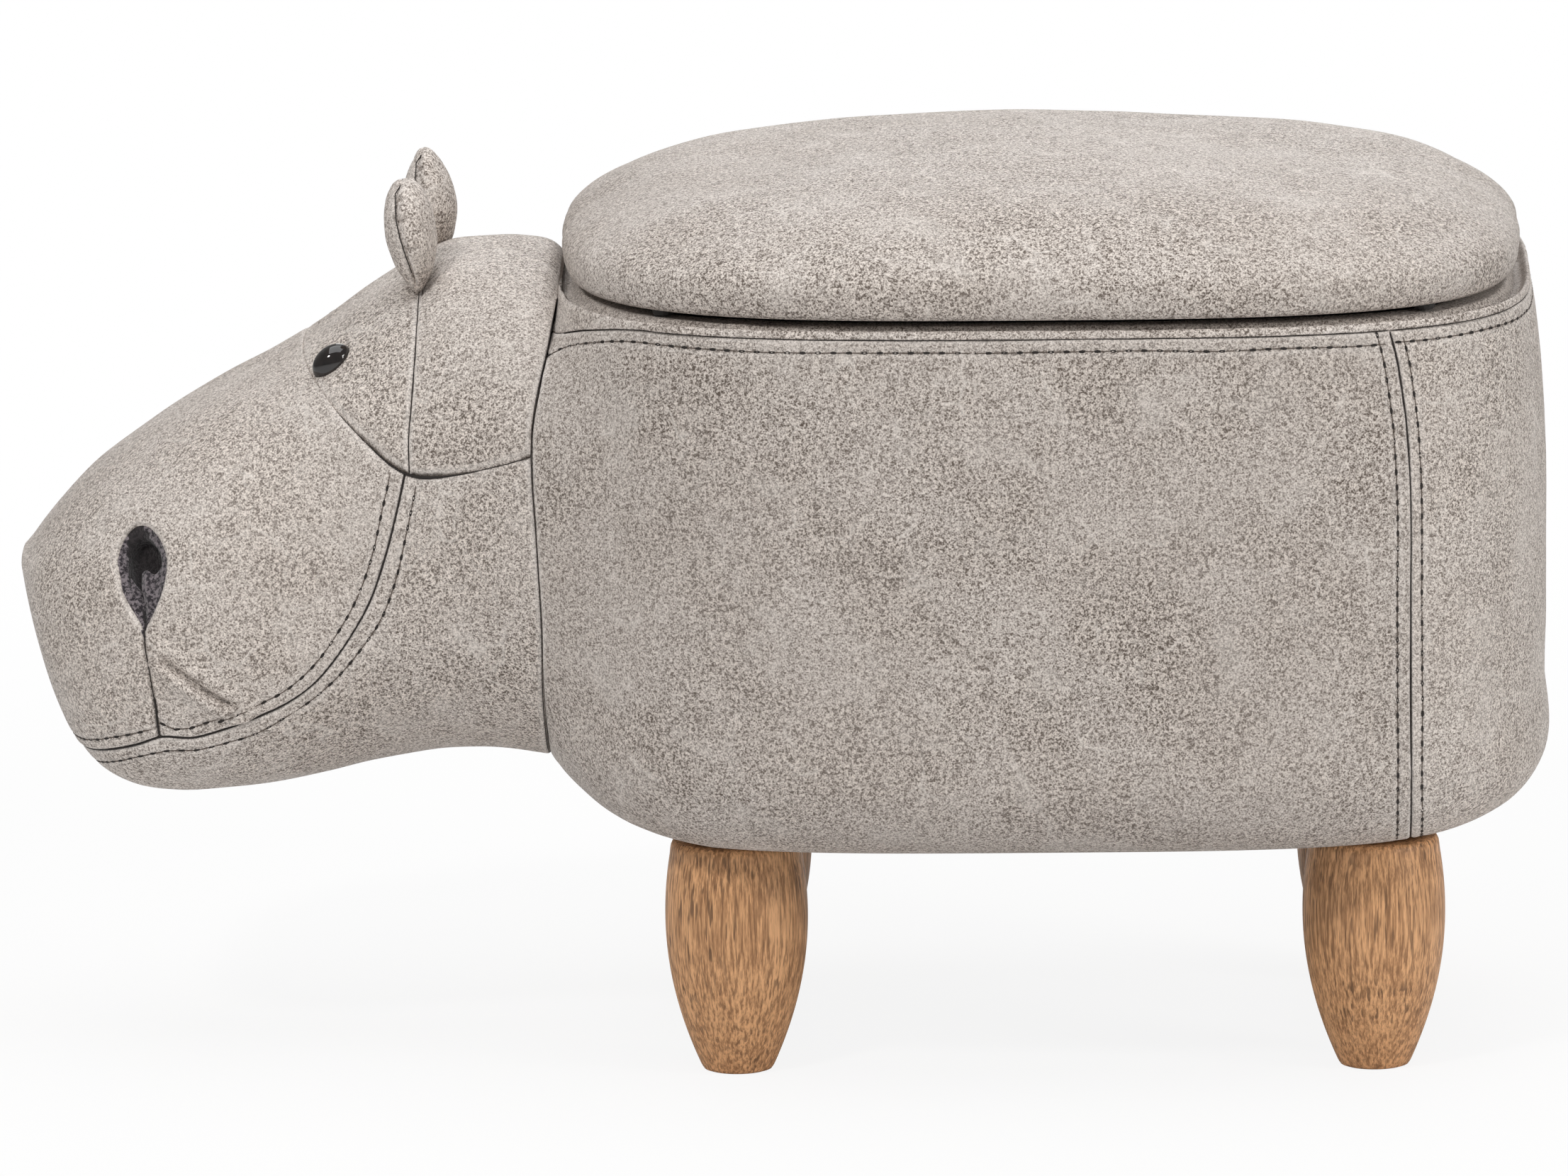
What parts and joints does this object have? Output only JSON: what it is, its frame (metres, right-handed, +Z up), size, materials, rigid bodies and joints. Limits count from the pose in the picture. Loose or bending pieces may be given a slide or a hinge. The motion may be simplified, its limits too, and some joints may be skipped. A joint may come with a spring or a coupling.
{
  "type": "animal storage footstool",
  "caption": "Upholstered footstool shaped like a hippopotamus, its barrel a storage bin under a hinged padded lid, on short turned wooden legs.",
  "frame": {"origin": "on the floor below the middle of the whole animal", "axes": "+Z up, +X toward the rear so that the nose points to -X, -Y toward the side that the picture shows, +Y toward the hinges"},
  "size_m": [0.6399, 0.3398, 0.3772],
  "materials": {
    "faux_leather": "soft matt light taupe grey, crackled and faintly mottled",
    "leg_wood": "satin brown, with dark grain flecks",
    "plywood": "raw",
    "foam": "open-cell foam and loose filling",
    "liner_fabric": "black non-woven cloth",
    "nostril_felt": "dark plum-grey felt",
    "eye_plastic": "glossy black",
    "steel": "zinc plated",
    "rubber": "matt black"
  },
  "bodies": {
    "stool": {"base_board": "plywood", "bin_lining_floor": "liner_fabric", "bin_lining_wall": "liner_fabric", "body_cover_far": "faux_leather", "body_cover_near": "faux_leather", "body_cover_rear": "faux_leather", "brow_cover": "faux_leather", "crown_cover": "faux_leather", "dust_cover": "liner_fabric", "ear_far": "faux_leather", "ear_near": "faux_leather", "eye_far": "eye_plastic", "eye_near": "eye_plastic", "eye_washer_far": "steel", "eye_washer_near": "steel", "foam_base_pad": "foam", "foam_wrap_far": "foam", "foam_wrap_near": "foam", "head_board": "plywood", "head_filling": "foam", "head_screw_far": "steel", "head_screw_near": "steel", "hinge_lower_leaf_front": "steel", "hinge_lower_leaf_rear": "steel", "hinge_pin_front": "steel", "hinge_pin_rear": "steel", "jaw_cover": "faux_leather", "leg_bolt_front_far": "steel", "leg_bolt_front_near": "steel", "leg_bolt_rear_far": "steel", "leg_bolt_rear_near": "steel", "leg_front_far": "leg_wood", "leg_front_near": "leg_wood", "leg_nut_front_far": "steel", "leg_nut_front_near": "steel", "leg_nut_rear_far": "steel", "leg_nut_rear_near": "steel", "leg_rear_far": "leg_wood", "leg_rear_near": "leg_wood", "nostril_lining_far": "nostril_felt", "nostril_lining_near": "nostril_felt", "rim_binding": "faux_leather", "snout_cover": "faux_leather", "wall_far": "plywood", "wall_front": "plywood", "wall_near": "plywood", "wall_rear": "plywood"},
    "lid": {"hinge_upper_leaf_front": "steel", "hinge_upper_leaf_rear": "steel", "lid_board": "plywood", "lid_bumper_1": "rubber", "lid_bumper_2": "rubber", "lid_bumper_3": "rubber", "lid_bumper_4": "rubber", "lid_cover": "faux_leather", "lid_cushion": "foam", "lid_underside_lining": "liner_fabric"}
  },
  "joints": [
    {"name": "lid_hinge", "type": "hinge", "parent": "stool", "child": "lid", "pos_m": [0.1095, 0.1625, 0.3275], "axis": [-1, 0, 0], "range_deg": [0, 100]}
  ]
}
